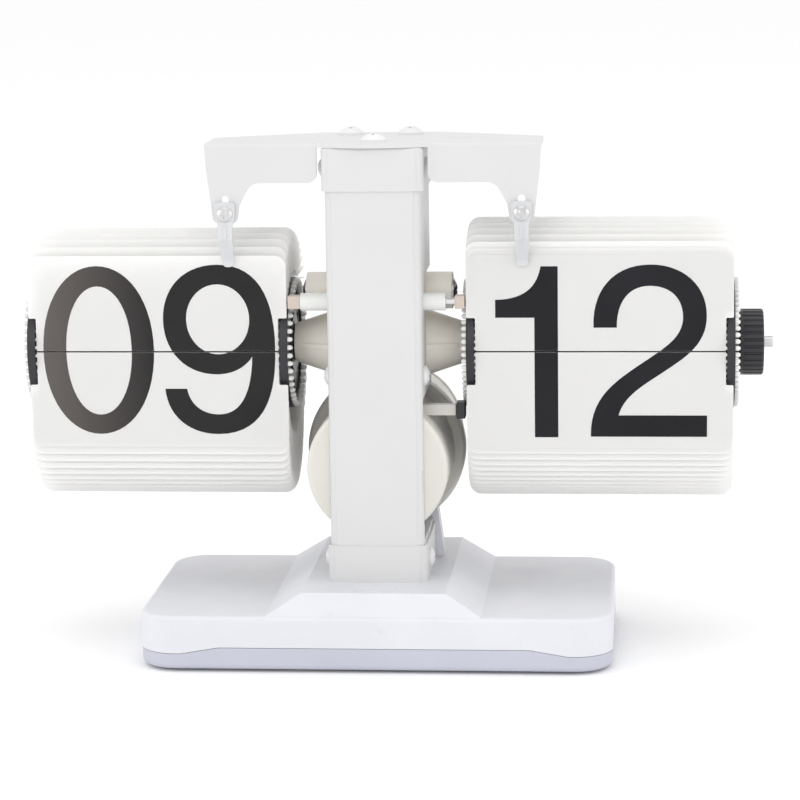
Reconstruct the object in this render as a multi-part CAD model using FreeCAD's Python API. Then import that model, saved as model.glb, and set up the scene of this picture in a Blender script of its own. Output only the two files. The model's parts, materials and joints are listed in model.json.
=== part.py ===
import FreeCAD, Part
import math
import os

# Flip number clock: a wide base carries a square column.  A gear case in the column
# turns two card drums, hours on the left and minutes on the right.
# Frame: origin at the middle of the underside of the base, +X right, +Y back, +Z up.
# All lengths are millimetres, all angles degrees.

V = FreeCAD.Vector

# ---- base
base_half_x = 65.7
base_half_y = 37.5
base_corner = 10.5
pad_top = 0.8
wing_top = 16.0
ridge_top = 21.8
ridge_half_top = 20.0
ridge_half_foot = 29.8
ridge_front_top = -33.2
ridge_front_foot = -36.8
seam_low = 5.2
seam_high = 7.0
seam_in = 43.0
seam_out = 53.5
shell_wall = 1.8

# ---- column
col_half = 13.2
col_front = -20.0
col_back = 12.0
col_wall = 1.7
col_bulge = 0.6
collar_top = 32.2
cap_foot = 131.4
plate_foot = 143.3
plate_top = 144.5

# ---- top bracket and its two fingers
flange_front = -18.5
flange_back = -17.3
arm_out = 46.2
arm_in = 15.3
arm_foot = 133.6
leg_foot = 122.6
leg_x = 40.8
slot_foot = 123.6
slot_head = 130.2
slot_half = 1.05
finger_screw_z = 125.1
finger_tip_z = 110.0

# ---- the two drums
axis_y = 4.0
axis_z = 86.0
pivot_r = 17.5
wheel_r = 18.7
wheel_in = 24.9
wheel_thick = 2.3
wheel_out = 96.9
groove_deep = 1.0
groove_inner = 16.9
groove_outer = 18.1
hub_r = 6.5
shaft_r = 1.5
bead_r = 0.7
bead_long = 1.35
minute_cards = 60
hour_cards = 48

# ---- cards
card_in = 25.0
card_out = 98.7
card_thick = 0.15
card_reach = 27.0
card_gap = 0.2
card_corner = 3.0
notch_in = 27.5
notch_out = 96.6
notch_high = 9.2
stub_r = 0.42
stub_long = 0.85
fan_start = 17.0
hang_start = 195.0
hour_fan_start = 6.0
hour_hang_start = 186.0
hour_trim = 0.7

# ---- knob
knob_in = 100.8
knob_out = 107.4
knob_r = 9.3
shaft_tip = 110.1

# ---- gear case
case_half = 11.0
case_wall = 1.2
case_front = -9.3
case_back = 28.6
case_foot = 73.3
case_head = 114.0
funnel_root = 10.0
funnel_end = 5.5
funnel_tip = 24.5
boss_r = 5.2
boss_y = 0.0
boss_z = 101.4
boss_out = 20.5
gear_gap = 13.0
lay_angle = 20.0
motor_r = 7.0
motor_away = 19.5

# ---- spacer tube and rod in front of the gear case
rod_y = -12.5
rod_z = 99.9
rod_r = 1.1
tube_r = 2.45

# ---- battery barrel
barrel_z = 53.4
barrel_r = 19.7
barrel_in = 17.3
barrel_front = -18.0
barrel_back = 44.5
ring_r = 22.8
cell_r = 16.6


def box(x0, x1, y0, y1, z0, z1):
    return Part.makeBox(x1 - x0, y1 - y0, z1 - z0, V(x0, y0, z0))


def rod_x(x0, x1, y, z, r):
    return Part.makeCylinder(r, x1 - x0, V(x0, y, z), V(1, 0, 0))


def rod_along_y(y0, y1, x, z, r):
    return Part.makeCylinder(r, y1 - y0, V(x, y0, z), V(0, 1, 0))


def rod_up(z0, z1, x, y, r):
    return Part.makeCylinder(r, z1 - z0, V(x, y, z0), V(0, 0, 1))


def cone_x(x0, x1, y, z, r0, r1):
    return Part.makeCone(r0, r1, x1 - x0, V(x0, y, z), V(1, 0, 0))


def fuse(shapes):
    body = shapes[0]
    if len(shapes) > 1:
        body = body.fuse(shapes[1:])
    return body.removeSplitter()


def group(shapes):
    return Part.makeCompound(shapes)


def place(plane, a, b, c):
    # a point (a, b) in the named plane at distance c along its normal
    if plane == "xy":
        return V(a, b, c)
    if plane == "xz":
        return V(a, c, b)
    return V(c, a, b)


def outline(plane, points, level):
    # closed wire through (a, b, corner radius) points
    edges = []
    starts = []
    n = len(points)
    for i in range(n):
        a, b, r = points[i]
        pa, pb = points[i - 1][:2]
        na, nb = points[(i + 1) % n][:2]
        if r <= 0:
            starts.append(((a, b), None, (a, b)))
            continue
        la = math.hypot(pa - a, pb - b)
        lb = math.hypot(na - a, nb - b)
        ua = ((pa - a) / la, (pb - b) / la)
        ub = ((na - a) / lb, (nb - b) / lb)
        dot = max(-1.0, min(1.0, ua[0] * ub[0] + ua[1] * ub[1]))
        half = math.acos(dot) / 2.0
        run = r / math.tan(half)
        p0 = (a + ua[0] * run, b + ua[1] * run)
        p1 = (a + ub[0] * run, b + ub[1] * run)
        mid_len = math.hypot(ua[0] + ub[0], ua[1] + ub[1])
        reach = r / math.sin(half) - r
        mid = (a + (ua[0] + ub[0]) / mid_len * reach, b + (ua[1] + ub[1]) / mid_len * reach)
        starts.append((p0, mid, p1))
    for i in range(n):
        p0, mid, p1 = starts[i]
        q0 = starts[(i + 1) % n][0]
        if mid is not None:
            arc = Part.Arc(place(plane, p0[0], p0[1], level),
                           place(plane, mid[0], mid[1], level),
                           place(plane, p1[0], p1[1], level))
            edges.append(arc.toShape())
        if math.hypot(q0[0] - p1[0], q0[1] - p1[1]) > 1e-6:
            edges.append(Part.makeLine(place(plane, p1[0], p1[1], level),
                                       place(plane, q0[0], q0[1], level)))
    return Part.Wire(edges)


def prism(plane, points, c0, c1):
    face = Part.Face(outline(plane, points, c0))
    step = place(plane, 0, 0, c1 - c0)
    return face.extrude(step)


def plate_points(hx, y0, y1, r):
    return [(-hx, y0, r), (hx, y0, r), (hx, y1, r), (-hx, y1, r)]


def soften(shape, size, wanted):
    # round the edges that the test picks out
    edges = [e for e in shape.Edges if wanted(e)]
    return shape.makeFillet(size, edges) if edges else shape


def dome_head(r, tall, at, direction):
    # button head: a cap of a ball on a short rim
    rim = tall * 0.25
    rise = tall - rim
    ball = (r * r + rise * rise) / (2.0 * rise)
    d = V(direction[0], direction[1], direction[2])
    p = V(at[0], at[1], at[2])
    body = Part.makeCylinder(r, tall, p, d)
    centre = p + d * (tall - ball)
    sphere = Part.makeSphere(ball, centre)
    return body.common(sphere)


def cross_slot(at, direction, size, deep):
    # cross recess cut into a head, measured down from the given point
    d = V(direction[0], direction[1], direction[2])
    side = V(0, 0, 1) if abs(d.z) < 0.5 else V(1, 0, 0)
    other = d.cross(side)
    p = V(at[0], at[1], at[2]) - d * deep
    arms = []
    for u, w in ((side, other), (other, side)):
        corner = p - u * size - w * (size * 0.25)
        pts = [corner, corner + u * (2 * size), corner + u * (2 * size) + w * (size * 0.5),
               corner + w * (size * 0.5), corner]
        face = Part.Face(Part.makePolygon(pts))
        arms.append(face.extrude(d * (deep * 3)))
    return fuse(arms)


def screw(r, tall, shank_r, shank, at, direction):
    d = V(direction[0], direction[1], direction[2])
    head = dome_head(r, tall, at, direction)
    p = V(at[0], at[1], at[2])
    pin = Part.makeCylinder(shank_r, shank, p - d * shank, d)
    top = p + d * tall
    body = fuse([head, pin])
    return body.cut(cross_slot((top.x, top.y, top.z), direction, r * 0.5, tall * 0.5))


# ------------------------------------------------------------------ base
def seam_block(low):
    # everything under the stepped seam between shell and tray
    z_in = seam_high - low
    z_out = seam_low - low
    pts = [(-80, -5, 0), (80, -5, 0), (80, z_out, 0), (seam_out, z_out, 0), (seam_in, z_in, 0),
           (-seam_in, z_in, 0), (-seam_out, z_out, 0), (-80, z_out, 0)]
    return prism("xz", pts, -60, 60)


def make_base_pad():
    return prism("xy", plate_points(57.0, -31.0, 31.0, 8.0), 0.0, pad_top)


def make_base_tray():
    outer = prism("xy", plate_points(base_half_x, -base_half_y, base_half_y, base_corner), pad_top, 12.0)
    outer = soften(outer, 1.6, lambda e: e.BoundBox.ZMax < pad_top + 0.01)
    hollow = prism("xy", plate_points(base_half_x - 2.2, -base_half_y + 2.2, base_half_y - 2.2, 10.0),
                   pad_top + 2.2, 12.0)
    body = outer.common(seam_block(0.0)).cut(hollow)
    for x in (-48.0, 48.0):
        for y in (-29.0, 29.0):
            body = body.cut(rod_up(0.0, 6.0, x, y, 1.7))
            body = body.cut(rod_up(0.0, pad_top + 1.2, x, y, 3.4))
    return body


def ridge(inset):
    slope = inset * 0.6
    pts = [(-ridge_half_foot + inset, 10.0, 0), (ridge_half_foot - inset, 10.0, 0),
           (ridge_half_foot - inset, wing_top - slope, 0), (ridge_half_top - slope, ridge_top - inset, 0),
           (-ridge_half_top + slope, ridge_top - inset, 0), (-ridge_half_foot + inset, wing_top - slope, 0)]
    block = prism("xz", pts, ridge_front_foot + inset, base_half_y - 0.9 - inset)
    foot = ridge_front_foot + inset
    head = ridge_front_top + inset
    wedge = [(foot - 5.0, wing_top - slope, 0), (foot, wing_top - slope, 0),
             (head, ridge_top + 0.2 - slope, 0), (head, 30.0, 0), (foot - 5.0, 30.0, 0)]
    return block.cut(prism("yz", wedge, -50, 50))


def make_base_shell():
    outer = prism("xy", plate_points(base_half_x, -base_half_y, base_half_y, base_corner), 3.0, wing_top)
    outer = soften(outer, 1.3, lambda e: e.BoundBox.ZMin > wing_top - 0.01)
    outer = fuse([outer, ridge(0.0)])
    hollow = prism("xy", plate_points(base_half_x - shell_wall, -base_half_y + shell_wall,
                                      base_half_y - shell_wall, base_corner - 1.8),
                   2.0, wing_top - shell_wall)
    body = outer.cut(fuse([hollow, ridge(shell_wall)])).cut(seam_block(-0.15))
    for x in (-48.0, 48.0):
        for y in (-29.0, 29.0):
            body = body.fuse(rod_up(pad_top + 2.2, wing_top - shell_wall + 0.3, x, y, 3.2))
            body = body.cut(rod_up(2.0, 13.0, x, y, 1.25))
    return body.cut(tab_block(0.02)).removeSplitter()


def tab_block(grow):
    return prism("xy", [(-5.6 - grow, -30.4 - grow, 0.6), (5.6 + grow, -30.4 - grow, 0.6),
                        (5.6 + grow, -25.0 + grow, 0.6), (-5.6 - grow, -25.0 + grow, 0.6)],
                 ridge_top - 3.2 - grow, ridge_top + 0.1)


def make_base_tab():
    # snap-in plug over the front fixing of the column
    return tab_block(0.0)


def make_base_ballast():
    return prism("xy", plate_points(42.0, -26.0, 26.0, 4.0), pad_top + 2.2, pad_top + 2.2 + 6.0)


def make_base_screws():
    out = []
    for x in (-48.0, 48.0):
        for y in (-29.0, 29.0):
            head = rod_up(pad_top + 0.1, pad_top + 1.2, x, y, 3.0)
            pin = rod_up(pad_top + 1.2, 11.0, x, y, 1.2)
            one = fuse([head, pin])
            out.append(one.cut(cross_slot((x, y, pad_top), (0, 0, -1), 1.6, 0.6)))
    return group(out)


# ------------------------------------------------------------------ column
def column_section(grow, z0, z1, wall):
    # square tube section with a faintly bowed front, open at the back
    h = col_half + grow
    f = col_front - grow * 0.5
    r = 2.4
    outer = prism("xy", [(-h, f, r), (h, f, r), (h, col_back, 0.4), (-h, col_back, 0.4)], z0, z1)
    drop = col_bulge
    big = (h * h + drop * drop) / (2.0 * drop)
    bow = rod_up(z0, z1, 0, f - drop + big, big)
    front = box(-h + 1.9, h - 1.9, f - drop, f + 1.5, z0, z1).common(bow)
    outer = fuse([outer, front])
    if wall > 0:
        inner = prism("xy", [(-h + wall, f + wall, 1.0), (h - wall, f + wall, 1.0),
                             (h - wall, col_back + 5, 0), (-h + wall, col_back + 5, 0)], z0 - 1, z1 + 1)
        outer = outer.cut(inner)
    return outer


def make_column():
    body = column_section(0.0, ridge_top + 2.05, cap_foot + 9.0, col_wall)
    far = col_half + 2
    gap_foot = barrel_z - barrel_r - 0.3
    gap_head = barrel_z + barrel_r + 0.3
    body = body.cut(box(-far, far, barrel_front - 0.1, 20, gap_foot, gap_head))
    low = axis_z - funnel_root - 0.5
    body = body.cut(box(-far, far, axis_y - funnel_root - 0.6, 20, low, boss_z + boss_r + 0.3))
    body = body.cut(rod_x(-far, far, rod_y, rod_z, tube_r + 0.05))
    for side in (-1, 1):
        # clip slots beside the barrel
        x0 = min(side * (col_half + 1), side * (col_half - 0.5))
        body = body.cut(box(x0, x0 + 1.5, col_front + 0.9, col_front + 1.5, 47.0, 53.4))
        for y, z in side_screw_spots():
            if z in (137.2, 27.0):
                hole = rod_x(-far, far, y, z, 1.3)
                body = body.cut(hole)
    body = body.cut(rod_x(-far, far, -13.0, 79.2, 1.3))
    return body.removeSplitter()


def make_column_cap():
    body = column_section(0.85, cap_foot, plate_foot, 0.0)
    inner = column_section(0.02, cap_foot - 1, plate_foot - 2.0, 0.0)
    body = body.cut(inner)
    body = soften(body, 0.8, lambda e: e.BoundBox.ZMin > plate_foot - 0.01 and e.BoundBox.YMax < col_back - 1)
    for x, y in bracket_screw_spots():
        body = body.cut(rod_up(plate_foot - 4, plate_foot + 1, x, y, 1.45))
    return body.cut(rod_x(-30, 30, -11.0, 137.2, 1.3))


def make_column_collar():
    body = column_section(0.7, ridge_top, collar_top, 0.0)
    inner = column_section(0.02, ridge_top + 2.0, collar_top + 1, 0.0)
    body = body.cut(inner)
    return body.cut(rod_x(-30, 30, -11.0, 27.0, 1.3))


def side_screw_spots():
    return [(-11.0, 137.2), (-11.0, 27.0)]


def make_side_screws():
    out = []
    for side in (-1, 1):
        d = (side, 0, 0)
        out.append(screw(2.8, 1.7, 1.25, 5.0, (side * (col_half + 0.85), -11.0, 137.2), d))
        out.append(screw(2.8, 1.7, 1.25, 5.0, (side * (col_half + 0.7), -11.0, 27.0), d))
        out.append(screw(2.8, 1.7, 1.25, 5.6, (side * col_half, -13.0, 79.2), d))
    return group(out)


def make_mid_nut_strap():
    # threaded strap inside the column that the middle side screws pull against
    body = box(-11.5, 11.5, -16.0, case_front, 76.2, 82.2)
    return body.cut(rod_x(-20, 20, -13.0, 79.2, 1.3))


def make_inner_blocks():
    # threaded blocks inside the two ends of the column
    low = box(-11.5, 11.5, -15.5, -6.5, ridge_top + 2.0, collar_top - 1.2)
    high = box(-11.5, 11.5, -15.5, 14.4, cap_foot + 1.0, plate_foot - 2.0)
    high = fuse([high, box(-11.5, 11.5, col_back + 0.05, 14.4, plate_foot - 3.0, plate_foot)])
    low = low.cut(rod_x(-20, 20, -11.0, 27.0, 1.3))
    high = high.cut(rod_x(-20, 20, -11.0, 137.2, 1.3))
    for x, y in bracket_screw_spots():
        high = high.cut(rod_up(cap_foot, plate_foot + 1, x, y, 1.45))
    return group([low, high])


def make_rear_foot():
    # saddle between the base ridge and the underside of the battery barrel
    pts = [(-16.5, ridge_top, 0), (16.5, ridge_top, 0), (14.6, 36.1, 1.0), (-14.6, 36.1, 1.0)]
    body = prism("xz", pts, col_back + 0.1, col_back + 5.8)
    floor = ridge_top + 2.0
    back = col_back + 0.1
    web = prism("yz", [(0.0, floor, 0), (back, floor, 0), (back, 33.0, 0), (6.0, 33.0, 0)], -10.5, 10.5)
    body = fuse([body, web])
    return body.cut(rod_along_y(-10, 30, 0, barrel_z, barrel_r))


# ------------------------------------------------------------------ top bracket
def bracket_screw_spots():
    return [(-8.4, 10.0), (8.4, 10.0), (0.0, -12.6)]


def arm_plate(side):
    s = side
    pts = [(s * arm_in, plate_top, 0), (s * arm_out, plate_top, 0.8), (s * (arm_out - 0.3), 138.0, 8.0),
           (s * 44.1, leg_foot, 1.6), (s * 37.6, leg_foot, 1.6), (s * 36.9, 127.6, 3.0),
           (s * 33.7, arm_foot, 4.2), (s * arm_in, arm_foot, 2.6)]
    if side < 0:
        pts = pts[::-1]
    body = prism("xz", pts, flange_front, flange_back)
    slot = prism("xz", [(s * leg_x - slot_half, slot_foot, 1.04), (s * leg_x + slot_half, slot_foot, 1.04),
                        (s * leg_x + slot_half, slot_head, 1.04), (s * leg_x - slot_half, slot_head, 1.04)],
                 flange_front - 1, flange_back + 1)
    return body.cut(slot)


def make_top_bracket():
    # flat plate with a bowed middle and two folded-down arms
    front = flange_front
    points = [V(-arm_in, front, plate_foot), V(0, front - 3.8, plate_foot), V(arm_in, front, plate_foot)]
    edges = [Part.Arc(points[0], points[1], points[2]).toShape()]
    chain = [(arm_in, front), (arm_out, front), (arm_out, 1.2), (17.0, 16.6), (-17.0, 16.6),
             (-arm_out, 1.2), (-arm_out, front), (-arm_in, front)]
    for i in range(len(chain) - 1):
        a = V(chain[i][0], chain[i][1], plate_foot)
        b = V(chain[i + 1][0], chain[i + 1][1], plate_foot)
        edges.append(Part.makeLine(a, b))
    plate = Part.Face(Part.Wire(edges)).extrude(V(0, 0, plate_top - plate_foot))
    upright = [e for e in plate.Edges
               if e.BoundBox.ZLength > 1 and e.BoundBox.YMin > 0]
    plate = plate.makeFillet(2.5, upright)
    body = fuse([plate, arm_plate(-1), arm_plate(1)])
    body = soften(body, 0.9, lambda e: e.BoundBox.ZMin > plate_top - 0.01
                  and abs(e.BoundBox.YMin - front) < 0.01 and abs(e.BoundBox.YMax - front) < 0.01
                  and e.BoundBox.XLength > 20)
    for x, y in bracket_screw_spots():
        body = body.cut(rod_up(plate_foot - 1, plate_top + 1, x, y, 1.5))
    return body


def make_bracket_screws():
    out = []
    for x, y in bracket_screw_spots():
        out.append(screw(3.5, 2.2, 1.4, 5.5, (x, y, plate_top), (0, 0, 1)))
    return group(out)


def make_finger(side):
    # clear spring finger: shield-shaped head, tapering blade with a rounded tip
    cx = side * leg_x
    z0 = finger_screw_z
    front = [(cx - 2.9, z0 + 3.4, 1.0), (cx - 2.7, z0 - 1.2, 1.0), (cx - 2.0, z0 - 3.0, 0.6),
             (cx - 1.9, finger_tip_z + 6.0, 0), (cx - 1.5, finger_tip_z, 1.3), (cx + 1.5, finger_tip_z, 1.3),
             (cx + 1.9, finger_tip_z + 6.0, 0), (cx + 2.0, z0 - 3.0, 0.6), (cx + 2.7, z0 - 1.2, 1.0),
             (cx + 2.9, z0 + 3.4, 1.0)]
    body = prism("xz", front, -24, -10)
    f = flange_front - 0.02
    bend = leg_foot - 4.3
    edge = [(f, z0 + 3.4, 0), (f, bend, 0), (-14.0, finger_tip_z + 1.6, 0), (-13.95, finger_tip_z, 0),
            (-15.0, finger_tip_z, 0), (-15.2, finger_tip_z + 1.6, 0), (f - 1.2, bend - 0.3, 0),
            (f - 1.2, z0 + 3.4, 0)]
    body = body.common(prism("yz", edge, cx - 6, cx + 6))
    rib = [(-15.7, finger_tip_z + 2.4, 0), (f - 1.6, bend, 0), (f - 1.4, z0 - 3.2, 0),
           (f - 1.0, z0 - 3.2, 0), (f - 1.0, bend, 0), (-15.0, finger_tip_z + 2.4, 0)]
    body = fuse([body, prism("yz", rib, cx - 0.35, cx + 0.35)])
    return body.cut(rod_along_y(-24, -10, cx, z0, 1.0))


def make_finger_screw(side):
    cx = side * leg_x
    f = flange_front - 0.02
    one = screw(2.1, 1.1, 0.95, 1.3, (cx, f - 1.2, finger_screw_z), (0, -1, 0))
    pin = rod_along_y(f - 0.1, flange_back + 1.9, cx, finger_screw_z, 0.95)
    nut = rod_along_y(flange_back + 0.05, flange_back + 1.5, cx, finger_screw_z, 2.0)
    return fuse([one, pin, nut])


# ------------------------------------------------------------------ drums
def polar(r, angle):
    # point on a circle round the drum axis; 0 faces the front, 90 straight up
    a = math.radians(angle)
    return axis_y - r * math.cos(a), axis_z + r * math.sin(a)


def drum_wheel(x_face, side):
    # end wheel; the blind groove on its inner face runs over the card stubs
    x0 = min(x_face, x_face + side * wheel_thick)
    body = rod_x(x0, x0 + wheel_thick, axis_y, axis_z, wheel_r)
    body = soften(body, 0.25, lambda e: True)
    g = x_face + side * wheel_thick
    g0 = min(g, g - side * groove_deep)
    ring = rod_x(g0, g0 + groove_deep, axis_y, axis_z, groove_outer)
    ring = ring.cut(rod_x(g0 - 1, g0 + groove_deep + 1, axis_y, axis_z, groove_inner))
    body = body.cut(ring)
    dish = rod_x(x_face - 0.6, x_face + 0.6, axis_y, axis_z, 15.2)
    dish = dish.cut(rod_x(x_face - 1, x_face + 1, axis_y, axis_z, 8.4))
    body = body.cut(dish)
    for k in range(6):
        y, z = polar(11.8, 60 * k + 30)
        body = body.cut(rod_x(x0 - 1, x0 + wheel_thick + 1, y, z, 1.5))
    return body.cut(rod_x(x0 - 1, x0 + wheel_thick + 1, axis_y, axis_z, shaft_r))


def outer_x(side, x):
    # distance of an outer drum face from the middle; the hour drum is slightly narrower
    return x - hour_trim if side < 0 else x


def make_wheels(side):
    inner = drum_wheel(side * wheel_in, side)
    outer = drum_wheel(side * (outer_x(side, wheel_out) + wheel_thick), -side)
    return group([inner, outer])


def make_beads(side, count):
    # rounded pin heads standing out of the two outer faces
    out = []
    end_face = side * (outer_x(side, wheel_out) + wheel_thick)
    for face, way in ((side * wheel_in, -side), (end_face, side)):
        for k in range(count):
            y, z = polar(pivot_r, (k + 0.5) * 360.0 / count)
            stem = Part.makeCylinder(bead_r, bead_long - 0.5, V(face, y, z), V(way, 0, 0))
            end = V(face + way * (bead_long - 0.5), y, z)
            tip = Part.makeCone(bead_r, bead_r * 0.45, 0.5, end, V(way, 0, 0))
            out.append(stem.fuse(tip).removeSplitter())
    return group(out)


def make_hub(side):
    ends = (side * (wheel_in + wheel_thick), side * outer_x(side, wheel_out))
    x0 = min(ends)
    x1 = max(ends)
    body = rod_x(x0, x1, axis_y, axis_z, hub_r)
    return body.cut(rod_x(x0 - 1, x1 + 1, axis_y, axis_z, shaft_r))


def make_minute_shaft():
    body = rod_x(0.5, shaft_tip, axis_y, axis_z, shaft_r)
    flat = box(knob_out + 0.6, shaft_tip + 1, axis_y - 0.35, axis_y + 0.35, axis_z - 3, axis_z + 3)
    return body.cut(flat)


def make_hour_shaft():
    return rod_x(-99.5, -0.5, axis_y, axis_z, shaft_r)


def make_knob():
    # setting knob with lengthwise flutes, a collar reaches in to the end wheel
    body = rod_x(knob_in, knob_out, axis_y, axis_z, knob_r)
    body = soften(body, 0.8, lambda e: e.BoundBox.XMin > knob_out - 0.01)
    for k in range(30):
        y, z = polar(knob_r, 12 * k)
        body = body.cut(rod_x(knob_in + 0.8, knob_out + 1, y, z, 0.42))
    neck = rod_x(wheel_out + wheel_thick, knob_in, axis_y, axis_z, 4.6)
    body = fuse([body, neck])
    return body.cut(rod_x(90, 120, axis_y, axis_z, shaft_r))


# ------------------------------------------------------------------ cards
def card_lean(side, angle):
    # upright near the front, fanned over the top, hanging behind and below;
    # the hour cards lie further back on one another
    start = hour_fan_start if side < 0 else fan_start
    hang = hour_hang_start if side < 0 else hang_start
    if angle < start + 0.001:
        return 0.0
    if angle < hang:
        return (angle - start) * 180.0 / (hang - start)
    return 180.0


def card_blank(side, root):
    # one card standing on its pivot at the origin: slim sheet, two stubs
    far = card_reach - card_gap - root
    foot = -root + card_gap
    lo = card_in
    hi = outer_x(side, card_out)
    end = outer_x(side, notch_out)
    pts = [(notch_in, foot, 0), (end, foot, 0), (end, foot + notch_high, 0.4),
           (hi, foot + notch_high, 0.4), (hi, far + card_gap, card_corner), (lo, far + card_gap, card_corner),
           (lo, foot + notch_high, 0.4), (notch_in, foot + notch_high, 0.4)]
    pts = [(side * a, b, r) for a, b, r in pts]
    if side < 0:
        pts = pts[::-1]
    sheet = prism("xz", pts, -card_thick / 2.0, card_thick / 2.0)
    stubs = []
    for x, way in ((notch_in, -1), (end, 1)):
        a = side * x
        b = side * (x + way * stub_long)
        stubs.append(rod_x(min(a, b), max(a, b), 0, 0, stub_r))
    return sheet.fuse(stubs)


def place_card(side, blank, angle):
    lean = card_lean(side, angle)
    y, z = polar(pivot_r, angle)
    one = blank.copy()
    one.rotate(V(0, 0, 0), V(1, 0, 0), -lean)
    one.translate(V(0, y, z))
    return one


def card_angles(count, first, last):
    step = 360.0 / count
    return [(k + 0.5) * step for k in range(first, last)]


def make_card_set(side, count, first, last):
    root = pivot_r * math.sin(math.radians(180.0 / count))
    blank = card_blank(side, root)
    return group([place_card(side, blank, a) for a in card_angles(count, first, last)])


# ------------------------------------------------------------------ gears
def gear(teeth, module, x0, x1, y, z, phase, bore):
    # spur gear with slim straight-sided teeth; a tooth points along the phase angle
    pitch_r = teeth * module / 2.0
    root_r = pitch_r - 1.2 * module
    tip_r = pitch_r + 0.75 * module
    step = 360.0 / teeth
    pts = []
    for k in range(teeth):
        mid = phase + k * step
        for r, a in ((root_r, -0.27), (tip_r, -0.10), (tip_r, 0.10), (root_r, 0.27)):
            t = math.radians(mid + a * step)
            pts.append(V(x0, y + r * math.cos(t), z + r * math.sin(t)))
    pts.append(pts[0])
    body = Part.Face(Part.makePolygon(pts)).extrude(V(x1 - x0, 0, 0))
    return body.cut(rod_x(x0 - 1, x1 + 1, y, z, bore)) if bore > 0 else body


def lay_centre():
    a = math.radians(lay_angle)
    return axis_y + gear_gap * math.cos(a), axis_z + gear_gap * math.sin(a)


first_module = 2.0 * gear_gap / 60.0
second_module = 2.0 * gear_gap / 70.0


def make_minute_gear():
    # wheel driven by the motor, with the small pinion that drives the layshaft
    wheel = gear(48, first_module, 7.0, 8.2, axis_y, axis_z, 90.0, shaft_r)
    pinion = gear(12, first_module, 3.0, 5.4, axis_y, axis_z, lay_angle, shaft_r)
    sleeve = rod_x(5.4, 7.0, axis_y, axis_z, 2.4).cut(rod_x(5, 8, axis_y, axis_z, shaft_r))
    return fuse([wheel, pinion, sleeve])


def make_lay_gear():
    y, z = lay_centre()
    wheel = gear(48, first_module, 3.5, 4.7, y, z, lay_angle + 180.0 + 3.75, 0)
    pinion = gear(10, second_module, -6.4, -3.4, y, z, lay_angle + 180.0, 0)
    arbor = rod_x(-10.1, 10.1, y, z, 0.9)
    return fuse([wheel, pinion, arbor])


def make_hour_gear():
    wheel = gear(60, second_module, -5.6, -4.2, axis_y, axis_z, lay_angle + 3.0, shaft_r)
    sleeve = rod_x(-7.2, -5.6, axis_y, axis_z, 2.6).cut(rod_x(-8, -5, axis_y, axis_z, shaft_r))
    return fuse([wheel, sleeve])


def make_motor_pinion():
    z = axis_z + gear_gap
    pinion = gear(12, first_module, 6.8, 8.4, axis_y, z, -90.0 + 15.0, 0)
    return fuse([pinion, rod_x(4.6, 9.6, axis_y, z, 0.8)])


def make_motor_can():
    # sealed geared motor: round can with two wire tabs on its back
    z = axis_z + motor_away
    can = rod_x(-9.2, 6.0, axis_y, z, motor_r)
    can = soften(can, 0.6, lambda e: True)
    tabs = [box(-8.0, -5.5, axis_y + motor_r - 0.6, axis_y + motor_r + 2.2, z - 2.8, z - 2.3),
            box(-8.0, -5.5, axis_y + motor_r - 0.6, axis_y + motor_r + 2.2, z + 2.3, z + 2.8)]
    seat = rod_x(5.0, 6.1, axis_y, axis_z + gear_gap, 1.6)
    hole = rod_x(4.0, 7.0, axis_y, axis_z + gear_gap, 0.86)
    return fuse([can, seat] + tabs).cut(hole)


# ------------------------------------------------------------------ gear case
def make_case_half(side):
    # half of the cream case with its bearing funnel and pillar boss
    xa = side * 0.9
    xb = side * case_half
    x0, x1 = min(xa, xb), max(xa, xb)
    pts = [(case_front, case_foot, 2.0), (case_back, case_foot, 2.0), (case_back, 104.0, 3.0),
           (14.0, case_head, 3.0), (case_front, case_head, 2.0)]
    body = prism("yz", pts, x0, x1)
    w = case_wall
    inner = [(case_front + w, case_foot + w - 0.2, 1.0), (case_back - w, case_foot + w - 0.2, 1.0),
             (case_back - w, 103.4, 2.0), (13.4, case_head - w, 2.0), (case_front + w, case_head - w, 1.0)]
    i0, i1 = min(side * 0.5, side * (case_half - w)), max(side * 0.5, side * (case_half - w))
    body = body.cut(prism("yz", inner, i0, i1))
    far = side * funnel_tip
    run = funnel_tip - case_half
    start = Part.makeCone(funnel_root, funnel_end, run, V(xb, axis_y, axis_z), V(side, 0, 0))
    boss_len = boss_out - case_half
    boss = Part.makeCylinder(boss_r, boss_len, V(xb, boss_y, boss_z), V(side, 0, 0))
    parts = [body, start, boss]
    rib = [(xb, 0.8), (far - side * 2.5, 0.5), (far - side * 2.5, -0.5), (xb, -0.8)]
    rib_pts = [V(a, axis_y - 10.6 + 4.6 * abs(a - xb) / (funnel_tip - case_half), axis_z + b) for a, b in rib]
    rib_face = Part.Face(Part.makePolygon(rib_pts + [rib_pts[0]]))
    parts.append(rib_face.extrude(V(0, 6, 0)))
    body = fuse(parts)
    bore = Part.makeCylinder(shaft_r + 0.05, 40, V(side * 2, axis_y, axis_z), V(side, 0, 0))
    mouth = V(side * (case_half - w - 0.1), axis_y, axis_z)
    relief = Part.makeCone(8.4, 4.0, run - 1.6, mouth, V(side, 0, 0))
    bush = Part.makeCylinder(3.0, funnel_tip - case_half + 1.0, V(side * (case_half - w), axis_y, axis_z),
                             V(side, 0, 0))
    body = body.cut(relief.cut(bush)).cut(bore)
    y, z = lay_centre()
    body = body.cut(Part.makeCylinder(0.96, 0.6, V(side * (case_half - w - 0.1), y, z), V(side, 0, 0)))
    tip = V(side * boss_out, boss_y, boss_z)
    return body.cut(Part.makeCylinder(1.25, 7.0, tip, V(-side, 0, 0)))


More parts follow.
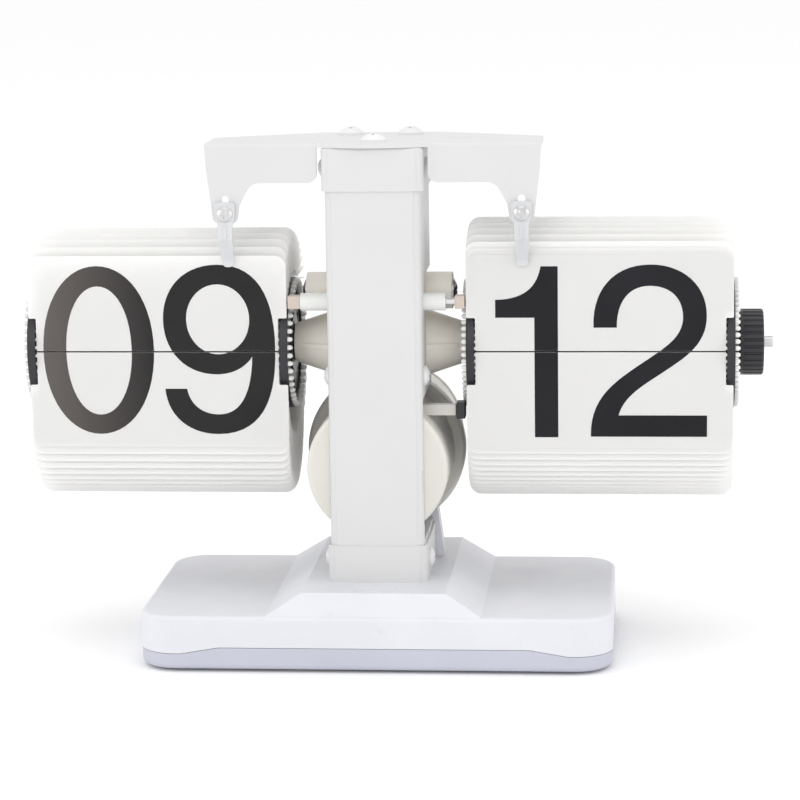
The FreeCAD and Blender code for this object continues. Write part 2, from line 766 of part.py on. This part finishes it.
def make_case_screws():
    # one screw in the end of each pillar boss
    spots = [((side * boss_out, boss_y, boss_z), (side, 0, 0)) for side in (-1, 1)]
    return group([screw(3.4, 1.4, 1.2, 6.0, at, way) for at, way in spots])


def make_case_plate():
    # middle bearing plate: both shaft ends run in it
    pts = [(case_front, case_foot, 2.0), (case_back, case_foot, 2.0), (case_back, 104.0, 3.0),
           (14.0, case_head, 3.0), (case_front, case_head, 2.0)]
    body = prism("yz", pts, -0.9, 0.9)
    body = fuse([body, rod_x(-1.9, 1.9, axis_y, axis_z, 3.4)])
    body = body.cut(rod_x(0.4, 3, axis_y, axis_z, shaft_r + 0.05))
    body = body.cut(rod_x(-3, -0.4, axis_y, axis_z, shaft_r + 0.05))
    y, z = lay_centre()
    body = body.cut(rod_x(-3, 3, y, z, 2.0))
    return body.cut(rod_x(-3, 3, axis_y, axis_z + motor_away, motor_r + 0.02))


def make_case_neck():
    # bridge between the barrel and the gear case
    body = box(-9.0, 9.0, -4.0, 10.0, barrel_z + 15.0, case_foot)
    return body.cut(rod_along_y(-10, 20, 0, barrel_z, barrel_r))


def make_spacer_tube():
    body = rod_x(-21.0, 19.4, rod_y, rod_z, tube_r)
    return body.cut(rod_x(-22, 21, rod_y, rod_z, rod_r + 0.02))


def make_tie_rod():
    body = rod_x(-24.2, 24.2, rod_y, rod_z, rod_r)
    for k in range(4):
        x = 19.8 + 0.5 * k
        ring = rod_x(x, x + 0.22, rod_y, rod_z, rod_r + 1).cut(rod_x(x - 1, x + 1, rod_y, rod_z, rod_r - 0.2))
        body = body.cut(ring)
    return body


def make_end_blocks():
    out = []
    for x0, x1 in ((-24.6, -21.0), (21.9, 24.6)):
        one = box(x0, x1, rod_y - 1.8, rod_y + 1.8, rod_z - 1.8, rod_z + 1.8)
        one = soften(one, 0.3, lambda e: True)
        out.append(one.cut(rod_x(x0 - 1, x1 + 1, rod_y, rod_z, rod_r)))
    return group(out)


def make_stop_block():
    # black stop under the right-hand funnel that meets the fallen minute cards
    arm = box(10.0, 22.6, -11.2, -8.4, 67.6, 70.6)
    pad = soften(box(22.0, 24.5, -12.4, -7.6, 66.8, 71.4), 0.4, lambda e: True)
    body = fuse([arm, pad])
    return body.cut(rod_along_y(-30, 30, 0, barrel_z, barrel_r))


# ------------------------------------------------------------------ battery
def make_barrel():
    body = rod_along_y(barrel_front, barrel_back, 0, barrel_z, barrel_r)
    body = soften(body, 1.2, lambda e: e.BoundBox.YMax < barrel_front + 0.01)
    ring = rod_along_y(12.0, 17.6, 0, barrel_z, ring_r)
    ring = soften(ring, 1.2, lambda e: e.BoundBox.YMax < 12.01)
    ring = ring.cut(box(-30, 30, 0, 30, case_foot - 0.05, 100))
    ring = ring.cut(box(-30, 30, 0, 30, 20, barrel_z - 17.0))
    body = fuse([body, ring])
    body = body.cut(rod_along_y(barrel_front + 1.6, barrel_back + 1, 0, barrel_z, barrel_in))
    return body


def make_barrel_cap():
    # rear cover with a finger bar; its skirt slips into the barrel
    body = rod_along_y(barrel_back + 0.05, barrel_back + 2.6, 0, barrel_z, barrel_r + 0.4)
    body = soften(body, 0.8, lambda e: e.BoundBox.YMin > barrel_back + 2.5)
    skirt = rod_along_y(barrel_back - 2.2, barrel_back + 0.2, 0, barrel_z, barrel_in - 0.06)
    skirt = skirt.cut(rod_along_y(barrel_back - 3, barrel_back + 0.1, 0, barrel_z, barrel_in - 1.4))
    bar = box(-10.0, 10.0, barrel_back + 2.0, barrel_back + 5.0, barrel_z - 1.4, barrel_z + 1.4)
    bar = soften(bar, 0.6, lambda e: e.BoundBox.YMin > barrel_back + 4.9)
    return fuse([body, skirt, bar])


def make_cell():
    can = rod_along_y(-14.6, 42.0, 0, barrel_z, cell_r)
    can = soften(can, 1.0, lambda e: True)
    button = rod_along_y(41.5, 43.2, 0, barrel_z, 4.6)
    return fuse([can, button])


def make_spring():
    # flat wire spring at the closed end: three shrinking coils, one ahead of the other
    coils = []
    for k in range(3):
        y = -16.12 + 0.6 * k
        coils.append(Part.makeTorus(7.6 - 1.3 * k, 0.26, V(0, y, barrel_z), V(0, 1, 0)))
    return group(coils)


def make_contact():
    # flat positive contact fixed on the inside of the cover
    return box(-3.5, 3.5, barrel_back - 0.95, barrel_back + 0.05, barrel_z - 3.5, barrel_z + 3.5)


# ------------------------------------------------------------------ write
def nodes():
    yield "base_pad", make_base_pad()
    yield "base_tray", make_base_tray()
    yield "base_shell", make_base_shell()
    yield "base_tab", make_base_tab()
    yield "base_ballast", make_base_ballast()
    yield "base_screws", make_base_screws()
    yield "column", make_column()
    yield "column_cap", make_column_cap()
    yield "column_collar", make_column_collar()
    yield "side_screws", make_side_screws()
    yield "column_strap", make_mid_nut_strap()
    yield "column_blocks", make_inner_blocks()
    yield "rear_foot", make_rear_foot()
    yield "top_bracket", make_top_bracket()
    yield "bracket_screws", make_bracket_screws()
    yield "finger_left", make_finger(-1)
    yield "finger_right", make_finger(1)
    yield "finger_screw_left", make_finger_screw(-1)
    yield "finger_screw_right", make_finger_screw(1)
    yield "case_left", make_case_half(-1)
    yield "case_right", make_case_half(1)
    yield "case_plate", make_case_plate()
    yield "case_neck", make_case_neck()
    yield "case_screws", make_case_screws()
    yield "motor_can", make_motor_can()
    yield "motor_pinion", make_motor_pinion()
    yield "minute_gear", make_minute_gear()
    yield "lay_gear", make_lay_gear()
    yield "hour_gear", make_hour_gear()
    yield "spacer_tube", make_spacer_tube()
    yield "tie_rod", make_tie_rod()
    yield "end_blocks", make_end_blocks()
    yield "stop_block", make_stop_block()
    yield "minute_shaft", make_minute_shaft()
    yield "minute_hub", make_hub(1)
    yield "minute_wheels", make_wheels(1)
    yield "minute_beads", make_beads(1, minute_cards)
    yield "knob", make_knob()
    yield "hour_shaft", make_hour_shaft()
    yield "hour_hub", make_hub(-1)
    yield "hour_wheels", make_wheels(-1)
    yield "hour_beads", make_beads(-1, hour_cards)
    yield "minute_card_top", make_card_set(1, minute_cards, 0, 1)
    yield "minute_cards_up", make_card_set(1, minute_cards, 1, 30)
    yield "minute_cards_down", make_card_set(1, minute_cards, 30, 59)
    yield "minute_card_fallen", make_card_set(1, minute_cards, 59, 60)
    yield "hour_card_top", make_card_set(-1, hour_cards, 0, 1)
    yield "hour_cards_up", make_card_set(-1, hour_cards, 1, 24)
    yield "hour_cards_down", make_card_set(-1, hour_cards, 24, 47)
    yield "hour_card_fallen", make_card_set(-1, hour_cards, 47, 48)
    yield "battery_barrel", make_barrel()
    yield "battery_cap", make_barrel_cap()
    yield "battery_cell", make_cell()
    yield "battery_spring", make_spring()
    yield "battery_contact", make_contact()


os.makedirs("parts", exist_ok=True)
for name, shape in nodes():
    box_mm = shape.BoundBox
    print("%-20s solids %3d valid %s  x %.1f..%.1f y %.1f..%.1f z %.1f..%.1f" % (
        name, len(shape.Solids), shape.isValid(), box_mm.XMin, box_mm.XMax, box_mm.YMin, box_mm.YMax,
        box_mm.ZMin, box_mm.ZMax))
    shape.exportStep("parts/" + name + ".step")
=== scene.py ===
import json
import math

import bmesh
import bpy
from mathutils import Matrix, Vector


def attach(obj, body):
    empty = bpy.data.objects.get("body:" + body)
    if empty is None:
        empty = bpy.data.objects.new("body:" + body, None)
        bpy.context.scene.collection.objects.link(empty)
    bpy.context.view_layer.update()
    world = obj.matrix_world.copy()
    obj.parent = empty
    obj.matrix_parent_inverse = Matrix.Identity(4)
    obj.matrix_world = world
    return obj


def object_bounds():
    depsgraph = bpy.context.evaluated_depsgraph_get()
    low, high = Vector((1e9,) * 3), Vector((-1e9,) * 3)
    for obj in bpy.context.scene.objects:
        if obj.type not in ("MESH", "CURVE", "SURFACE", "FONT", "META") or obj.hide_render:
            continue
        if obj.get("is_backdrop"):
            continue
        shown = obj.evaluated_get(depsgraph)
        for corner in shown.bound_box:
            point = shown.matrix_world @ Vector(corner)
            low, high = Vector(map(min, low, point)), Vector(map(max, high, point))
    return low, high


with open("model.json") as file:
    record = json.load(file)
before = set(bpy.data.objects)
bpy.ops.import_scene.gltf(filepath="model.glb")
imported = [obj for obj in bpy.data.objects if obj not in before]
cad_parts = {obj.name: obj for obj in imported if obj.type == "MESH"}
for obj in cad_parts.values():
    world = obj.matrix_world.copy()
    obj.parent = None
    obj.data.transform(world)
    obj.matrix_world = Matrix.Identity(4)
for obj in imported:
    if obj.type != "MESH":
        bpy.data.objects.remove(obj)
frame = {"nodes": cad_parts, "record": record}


def plain(box):
    if isinstance(box, dict):
        return {k: plain(v) for k, v in box.items()}
    return [[float(c) for c in corner] for corner in box]


size_at_start = plain(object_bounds())
scene = bpy.context.scene
MM = 0.001

# ------------------------------------------------------------------ camera
VIEW_YAW = 0.088323
VIEW_PITCH = 0.176988
VIEW_ROLL = -0.014448
VIEW_DISTANCE = 0.80761
VIEW_TARGET = Vector((0.005145, 0.0, 0.069935))
FOCAL_PX = 2847.5
SENSOR = 36.0
FRAME_PX = 800.0


def make_camera():
    back = Vector((math.sin(VIEW_YAW) * math.cos(VIEW_PITCH),
                   -math.cos(VIEW_YAW) * math.cos(VIEW_PITCH),
                   math.sin(VIEW_PITCH)))
    right = (-back).cross(Vector((0, 0, 1))).normalized()
    up = right.cross(-back)
    c, s = math.cos(VIEW_ROLL), math.sin(VIEW_ROLL)
    right_rolled = right * c + up * s
    up_rolled = up * c - right * s
    turn = Matrix((right_rolled, up_rolled, back)).transposed().to_4x4()
    data = bpy.data.cameras.new("camera")
    data.sensor_width = SENSOR
    data.lens = FOCAL_PX / FRAME_PX * SENSOR
    data.clip_start = 0.01
    data.clip_end = 20.0
    cam = bpy.data.objects.new("camera", data)
    cam.matrix_world = Matrix.Translation(VIEW_TARGET + back * VIEW_DISTANCE) @ turn
    scene.collection.objects.link(cam)
    scene.camera = cam


# ------------------------------------------------------------------ light and floor
FLOOR_REACH = 6.0


def area_light(name, at, toward, size, power):
    data = bpy.data.lights.new(name, "AREA")
    data.shape = "RECTANGLE"
    data.size, data.size_y = size
    data.energy = power
    lamp = bpy.data.objects.new(name, data)
    direction = Vector(toward) - Vector(at)
    lamp.matrix_world = (Matrix.Translation(Vector(at))
                         @ direction.to_track_quat("-Z", "Y").to_matrix().to_4x4())
    scene.collection.objects.link(lamp)


def make_studio():
    world = bpy.data.worlds.new("studio")
    scene.world = world
    world.use_nodes = True
    sky = world.node_tree.nodes["Background"]
    sky.inputs["Color"].default_value = (1.0, 1.0, 1.0, 1.0)
    sky.inputs["Strength"].default_value = 1.0
    area_light("front", (-0.25, -1.5, 0.7), (0, 0, 0.08), (1.0, 0.7), 2.4)
    area_light("top", (0.0, -0.1, 1.5), (0, 0, 0.05), (1.2, 1.2), 3.0)
    area_light("left", (-1.3, -0.45, 0.5), (0, 0, 0.04), (0.8, 0.8), 2.6)
    area_light("right", (1.3, -0.45, 0.5), (0, 0, 0.04), (0.8, 0.8), 2.6)
    make_floor()


def make_floor():
    r = FLOOR_REACH
    mesh = bpy.data.meshes.new("floor")
    mesh.from_pydata([(-r, -r, 0), (r, -r, 0), (r, r, 0), (-r, r, 0)], [], [(0, 1, 2, 3)])
    floor = bpy.data.objects.new("floor", mesh)
    scene.collection.objects.link(floor)
    floor.data.materials.append(surface("floor", (0.98, 0.98, 0.983), 0.9, grain=0.0, tint=0.0))
    floor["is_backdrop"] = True


# ------------------------------------------------------------------ materials
def surface(name, color, rough, metal=0.0, grain=0.25, grain_scale=900.0, tint=0.03,
            tint_scale=35.0, rough_vary=0.08, wear=0.0, wear_color=(0.5, 0.5, 0.5),
            streak=None, transmission=0.0, subsurface=0.0, specular=0.5):
    """A moulded, painted or metal finish: tone drift, roughness drift, fine grain and scattered scuffs
    of wear.
    """
    mat = bpy.data.materials.new(name)
    mat.use_nodes = True
    tree = mat.node_tree
    nodes, links = tree.nodes, tree.links
    shader = nodes["Principled BSDF"]
    shader.inputs["Metallic"].default_value = metal
    shader.inputs["Specular IOR Level"].default_value = specular
    shader.inputs["Transmission Weight"].default_value = transmission
    if subsurface > 0:
        shader.inputs["Subsurface Weight"].default_value = subsurface
        shader.inputs["Subsurface Radius"].default_value = (1.0, 1.0, 1.0)
        shader.inputs["Subsurface Scale"].default_value = 0.002
    where = nodes.new("ShaderNodeTexCoord")
    spread = nodes.new("ShaderNodeMapping")
    spread.inputs["Scale"].default_value = streak or (1.0, 1.0, 1.0)
    links.new(where.outputs["Object"], spread.inputs["Vector"])

    drift = nodes.new("ShaderNodeTexNoise")
    drift.inputs["Scale"].default_value = tint_scale
    drift.inputs["Detail"].default_value = 4.0
    links.new(spread.outputs["Vector"], drift.inputs["Vector"])
    ramp = nodes.new("ShaderNodeValToRGB")
    low = [max(0.0, c * (1.0 - tint)) for c in color]
    high = [min(1.0, c * (1.0 + tint)) for c in color]
    ramp.color_ramp.elements[0].position = 0.35
    ramp.color_ramp.elements[1].position = 0.65
    ramp.color_ramp.elements[0].color = (*low, 1.0)
    ramp.color_ramp.elements[1].color = (*high, 1.0)
    links.new(drift.outputs["Fac"], ramp.inputs["Fac"])
    paint = ramp.outputs["Color"]

    if wear > 0:
        scuff = nodes.new("ShaderNodeTexNoise")
        scuff.inputs["Scale"].default_value = 260.0
        scuff.inputs["Detail"].default_value = 6.0
        links.new(where.outputs["Object"], scuff.inputs["Vector"])
        mask = nodes.new("ShaderNodeMapRange")
        mask.inputs["From Min"].default_value = 0.66
        mask.inputs["From Max"].default_value = 0.74
        mask.inputs["To Max"].default_value = wear
        links.new(scuff.outputs["Fac"], mask.inputs["Value"])
        mix = nodes.new("ShaderNodeMix")
        mix.data_type = "RGBA"
        links.new(mask.outputs["Result"], mix.inputs["Factor"])
        links.new(paint, mix.inputs["A"])
        mix.inputs["B"].default_value = (*wear_color, 1.0)
        paint = mix.outputs["Result"]
    links.new(paint, shader.inputs["Base Color"])

    spots = nodes.new("ShaderNodeTexNoise")
    spots.inputs["Scale"].default_value = 140.0
    spots.inputs["Detail"].default_value = 3.0
    links.new(spread.outputs["Vector"], spots.inputs["Vector"])
    rough_range = nodes.new("ShaderNodeMapRange")
    rough_range.inputs["From Min"].default_value = 0.3
    rough_range.inputs["From Max"].default_value = 0.7
    rough_range.inputs["To Min"].default_value = max(0.03, rough - rough_vary)
    rough_range.inputs["To Max"].default_value = min(1.0, rough + rough_vary)
    links.new(spots.outputs["Fac"], rough_range.inputs["Value"])
    links.new(rough_range.outputs["Result"], shader.inputs["Roughness"])

    if grain > 0:
        fine = nodes.new("ShaderNodeTexNoise")
        fine.inputs["Scale"].default_value = grain_scale
        fine.inputs["Detail"].default_value = 3.0
        links.new(spread.outputs["Vector"], fine.inputs["Vector"])
        bump = nodes.new("ShaderNodeBump")
        bump.inputs["Strength"].default_value = grain
        bump.inputs["Distance"].default_value = 0.00005
        links.new(fine.outputs["Fac"], bump.inputs["Height"])
        links.new(bump.outputs["Normal"], shader.inputs["Normal"])
    return mat


def fade_along_x(mat, pale, x_pale, x_full):
    """A second colour that takes over along X, from x_full to x_pale."""
    tree = mat.node_tree
    nodes, links = tree.nodes, tree.links
    where = nodes.new("ShaderNodeTexCoord")
    split = nodes.new("ShaderNodeSeparateXYZ")
    links.new(where.outputs["Object"], split.inputs["Vector"])
    fade = nodes.new("ShaderNodeMapRange")
    fade.inputs["From Min"].default_value = x_full
    fade.inputs["From Max"].default_value = x_pale
    links.new(split.outputs["X"], fade.inputs["Value"])
    base = nodes["Principled BSDF"].inputs["Base Color"]
    dark = base.links[0].from_socket
    mix = nodes.new("ShaderNodeMix")
    mix.data_type = "RGBA"
    links.new(fade.outputs["Result"], mix.inputs["Factor"])
    links.new(dark, mix.inputs["A"])
    mix.inputs["B"].default_value = (*pale, 1.0)
    links.new(mix.outputs["Result"], base)


def make_materials():
    m = {}
    m["base_white"] = surface("base_white", (0.69, 0.695, 0.733), 0.4, grain=0.25, wear=0.15)
    m["tray_grey"] = surface("tray_grey", (0.505, 0.51, 0.588), 0.5, grain=0.3)
    m["pad_rubber"] = surface("pad_rubber", (0.03, 0.03, 0.032), 0.85, grain=0.6)
    m["ballast_iron"] = surface("ballast_iron", (0.12, 0.12, 0.12), 0.6, metal=0.8, grain=0.8, tint=0.2)
    m["column_white"] = surface("column_white", (0.645, 0.645, 0.645), 0.48, grain=0.35,
                                grain_scale=1500.0, tint=0.012)
    m["bracket_white"] = surface("bracket_white", (0.65, 0.65, 0.65), 0.45, grain=0.35,
                                 grain_scale=1500.0, tint=0.012)
    m["screw_white"] = surface("screw_white", (0.74, 0.74, 0.74), 0.4, grain=0.3, tint=0.05)
    m["steel"] = surface("steel", (0.62, 0.62, 0.62), 0.3, metal=1.0, grain=0.3, tint=0.08,
                         streak=(0.2, 1.0, 1.0))
    m["finger_clear"] = surface("finger_clear", (0.66, 0.67, 0.685), 0.35, grain=0.1, transmission=0.08)
    m["case_cream"] = surface("case_cream", (0.93, 0.885, 0.80), 0.5, grain=0.3, tint=0.03,
                              subsurface=0.1)
    m["barrel_cream"] = surface("barrel_cream", (0.665, 0.65, 0.605), 0.45, grain=0.25, tint=0.02,
                                subsurface=0.35)
    m["tube_white"] = surface("tube_white", (0.73, 0.74, 0.715), 0.4, grain=0.15)
    m["block_beige"] = surface("block_beige", (0.56, 0.48, 0.42), 0.5, grain=0.3)
    m["black_plastic"] = surface("black_plastic", (0.015, 0.015, 0.019), 0.38, grain=0.35, tint=0.15)
    m["bead_white"] = surface("bead_white", (0.76, 0.76, 0.75), 0.35, grain=0.1)
    m["hub_grey"] = surface("hub_grey", (0.35, 0.35, 0.35), 0.5, grain=0.3)
    m["gear_cream"] = surface("gear_cream", (0.75, 0.70, 0.58), 0.45, grain=0.2)
    m["card_white"] = surface("card_white", (0.905, 0.90, 0.883), 0.5, grain=0.12,
                              grain_scale=700.0, tint=0.01, subsurface=0.42)
    m["cell_sleeve"] = surface("cell_sleeve", (0.08, 0.16, 0.32), 0.35, grain=0.1)
    m["contact_brass"] = surface("contact_brass", (0.72, 0.56, 0.26), 0.3, metal=1.0, grain=0.2)
    m["ink"] = surface("ink", (0.014, 0.014, 0.017), 0.5, grain=0.15, tint=0.2, rough_vary=0.05,
                       specular=0.15)
    m["ink_hour"] = surface("ink_hour", (0.018, 0.017, 0.018), 0.5, grain=0.15, tint=0.2,
                            rough_vary=0.05, specular=0.15)
    # painted reflection: the hour print turns paler and brownish towards the outer end of the cards, a
    # sheen on the glossy ink set by position along X
    fade_along_x(m["ink_hour"], (0.125, 0.112, 0.105), -0.097, -0.062)
    # black pad on a pale arm
    m["stop_two_tone"] = surface("stop_two_tone", (0.015, 0.015, 0.019), 0.4, grain=0.3, tint=0.1)
    fade_along_x(m["stop_two_tone"], (0.60, 0.58, 0.54), 0.0216, 0.0218)
    return m


def dress_frame(materials):
    slot_of = {p["node"]: p["material_slot"] for p in frame["record"]["subparts"]}
    for name, obj in frame["nodes"].items():
        obj.data.materials.clear()
        kind = "stop_two_tone" if name == "stop_block" else slot_of[name]
        obj.data.materials.append(materials[kind])


# ------------------------------------------------------------------ numerals
AXIS_Y = 4.0
AXIS_Z = 86.0
PIVOT_R = 17.5
CARD_COUNT = {"hour": 48, "minute": 60}
HALF_CARD = 0.075
HALF_GAP = 0.22
INK_THICK = 0.02
INK_LIFT = 0.004
SECOND_CARD_EDGE = {"hour": -2.55, "minute": -2.10}


def bezier(p0, p1, p2, p3, steps=14):
    out = []
    for i in range(steps):
        t = i / steps
        u = 1.0 - t
        out.append((u ** 3 * p0[0] + 3 * u * u * t * p1[0] + 3 * u * t * t * p2[0] + t ** 3 * p3[0],
                    u ** 3 * p0[1] + 3 * u * u * t * p1[1] + 3 * u * t * t * p2[1] + t ** 3 * p3[1]))
    return out


def path(points):
    """points: start, then ("L", p) or ("C", c1, c2, p); returns the sampled outline."""
    out = []
    here = points[0]
    for step in points[1:]:
        if step[0] == "L":
            out.append(here)
            here = step[1]
        else:
            out.extend(bezier(here, step[1], step[2], step[3]))
            here = step[3]
    return out


def oval(cx, cz, rx, rz, square=0.60):
    """Upright oval with slightly straightened sides."""
    k = square
    j = 0.56
    return path([(cx, cz + rz),
                 ("C", (cx + rx * j, cz + rz), (cx + rx, cz + rz * k), (cx + rx, cz)),
                 ("C", (cx + rx, cz - rz * k), (cx + rx * j, cz - rz), (cx, cz - rz)),
                 ("C", (cx - rx * j, cz - rz), (cx - rx, cz - rz * k), (cx - rx, cz)),
                 ("C", (cx - rx, cz + rz * k), (cx - rx * j, cz + rz), (cx, cz + rz))])


def numeral(kind, x):
    """Outlines of one numeral; x is its left edge, heights are measured from the drum axis."""
    if kind == "0":
        return [oval(x + 15.7, 0.4, 15.7, 23.8), oval(x + 15.8, 0.3, 9.3, 18.2)]
    if kind == "1":
        return [path([(x + 17.3, -24.1), ("L", (x + 17.3, 23.8)), ("L", (x + 12.6, 23.8)),
                      ("C", (x + 11.5, 17.6), (x + 7.6, 14.6), (x, 14.5)),
                      ("L", (x, 9.5)), ("L", (x + 10.8, 9.5)), ("L", (x + 10.8, -24.1)),
                      ("L", (x + 17.3, -24.1))])]
    if kind == "2":
        return [path([(x, -23.9), ("L", (x + 32.1, -23.9)), ("L", (x + 32.1, -17.9)),
                      ("L", (x + 7.7, -17.9)),
                      ("C", (x + 9.1, -12.4), (x + 14.9, -9.2), (x + 20.5, -5.4)),
                      ("C", (x + 26.8, -1.2), (x + 31.9, 2.4), (x + 31.9, 10.0)),
                      ("C", (x + 31.9, 18.2), (x + 25.6, 24.2), (x + 16.5, 24.2)),
                      ("C", (x + 6.5, 24.2), (x + 0.4, 17.4), (x + 0.8, 6.7)),
                      ("L", (x + 7.2, 6.7)),
                      ("C", (x + 7.2, 14.2), (x + 10.7, 18.3), (x + 16.3, 18.3)),
                      ("C", (x + 22.0, 18.3), (x + 25.4, 14.8), (x + 25.4, 9.6)),
                      ("C", (x + 25.4, 4.6), (x + 21.6, 1.8), (x + 16.0, -2.0)),
                      ("C", (x + 6.8, -8.2), (x - 0.2, -12.6), (x, -23.9))])]
    if kind == "8":
        return [oval(x + 15.1, -10.9, 15.1, 13.1, 0.55), oval(x + 15.1, -10.7, 8.6, 7.2, 0.55)]
    # the nine: head, bowl and a hooked tail
    return [path([(x + 31.4, 1.2),
                  ("C", (x + 31.4, 16.2), (x + 26.3, 24.5), (x + 15.5, 24.5)),
                  ("C", (x + 6.2, 24.5), (x, 18.2), (x, 9.0)),
                  ("C", (x, -0.2), (x + 6.2, -6.4), (x + 14.8, -6.4)),
                  ("C", (x + 19.1, -6.4), (x + 22.8, -4.6), (x + 24.9, -1.4)),
                  ("C", (x + 24.5, -12.2), (x + 21.2, -17.8), (x + 15.1, -17.8)),
                  ("C", (x + 10.5, -17.8), (x + 7.0, -15.0), (x + 6.3, -10.5)),
                  ("L", (x + 0.1, -10.5)),
                  ("C", (x + 0.7, -18.4), (x + 6.6, -23.4), (x + 14.9, -23.4)),
                  ("C", (x + 27.2, -23.4), (x + 31.6, -13.6), (x + 31.4, 1.2))]),
            oval(x + 15.4, 9.15, 8.9, 9.85, 0.55)]


def print_mesh(name, outlines, level, y_mm):
    """The numerals above (level > 0) or below (level < 0) one height, as a thin raised print."""
    curve = bpy.data.curves.new(name, "CURVE")
    curve.dimensions = "2D"
    curve.fill_mode = "BOTH"
    for outline in outlines:
        spline = curve.splines.new("POLY")
        spline.points.add(len(outline) - 1)
        for point, (a, b) in zip(spline.points, outline):
            point.co = (a, b, 0.0, 1.0)
        spline.use_cyclic_u = True
    holder = bpy.data.objects.new(name, curve)
    scene.collection.objects.link(holder)
    bpy.context.view_layer.update()
    mesh = bpy.data.meshes.new_from_object(holder.evaluated_get(bpy.context.evaluated_depsgraph_get()))
    bpy.data.objects.remove(holder)
    bm = bmesh.new()
    bm.from_mesh(mesh)
    bmesh.ops.remove_doubles(bm, verts=bm.verts, dist=1e-5)
    way = (0, -1, 0) if level > 0 else (0, 1, 0)
    bmesh.ops.bisect_plane(bm, geom=bm.verts[:] + bm.edges[:] + bm.faces[:], dist=1e-6,
                           plane_co=(0, level, 0), plane_no=way, clear_outer=True)
    grown = bmesh.ops.extrude_face_region(bm, geom=bm.faces[:])
    for item in grown["geom"]:
        if isinstance(item, bmesh.types.BMVert):
            item.co.z += INK_THICK
    bmesh.ops.recalc_face_normals(bm, faces=bm.faces)
    for vert in bm.verts:
        a, b, up = vert.co
        vert.co = (a * MM, (y_mm - up) * MM, (AXIS_Z + b) * MM)
    bmesh.ops.recalc_face_normals(bm, faces=bm.faces)
    bm.to_mesh(mesh)
    bm.free()
    obj = bpy.data.objects.new(name, mesh)
    scene.collection.objects.link(obj)
    return obj


def card_face(drum, place):
    """Y of the printed face of a card; place 0.5 is the front card, 1.5 the one behind it."""
    angle = math.radians(place * 360.0 / CARD_COUNT[drum])
    return AXIS_Y - PIVOT_R * math.cos(angle) - HALF_CARD


def make_print(materials):
    now = {
        "hour": numeral("0", -94.0) + numeral("9", -59.8),
        "minute": numeral("1", 33.1) + numeral("2", 59.4),
    }
    before = {
        "hour": numeral("0", -94.0) + numeral("8", -59.8),
        "minute": numeral("1", 33.1) + numeral("1", 66.6),
    }
    for drum, ink in (("hour", "ink_hour"), ("minute", "ink")):
        front = card_face(drum, 0.5) - INK_LIFT
        behind = card_face(drum, 1.5) - INK_LIFT
        pieces = [
            (drum + "_print_top", now[drum], HALF_GAP, front, "frame"),
            (drum + "_print_fallen", now[drum], -HALF_GAP, front, drum + "_card"),
            (drum + "_print_behind", before[drum], SECOND_CARD_EDGE[drum], behind, "frame"),
        ]
        for name, outlines, level, y_mm, body in pieces:
            obj = print_mesh(name, outlines, level, y_mm)
            obj.data.materials.append(materials[ink])
            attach(obj, body)


# ------------------------------------------------------------------ build
scene.view_settings.view_transform = "Standard"
make_camera()
materials = make_materials()
make_studio()
dress_frame(materials)
make_print(materials)

size_at_end = plain(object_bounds())
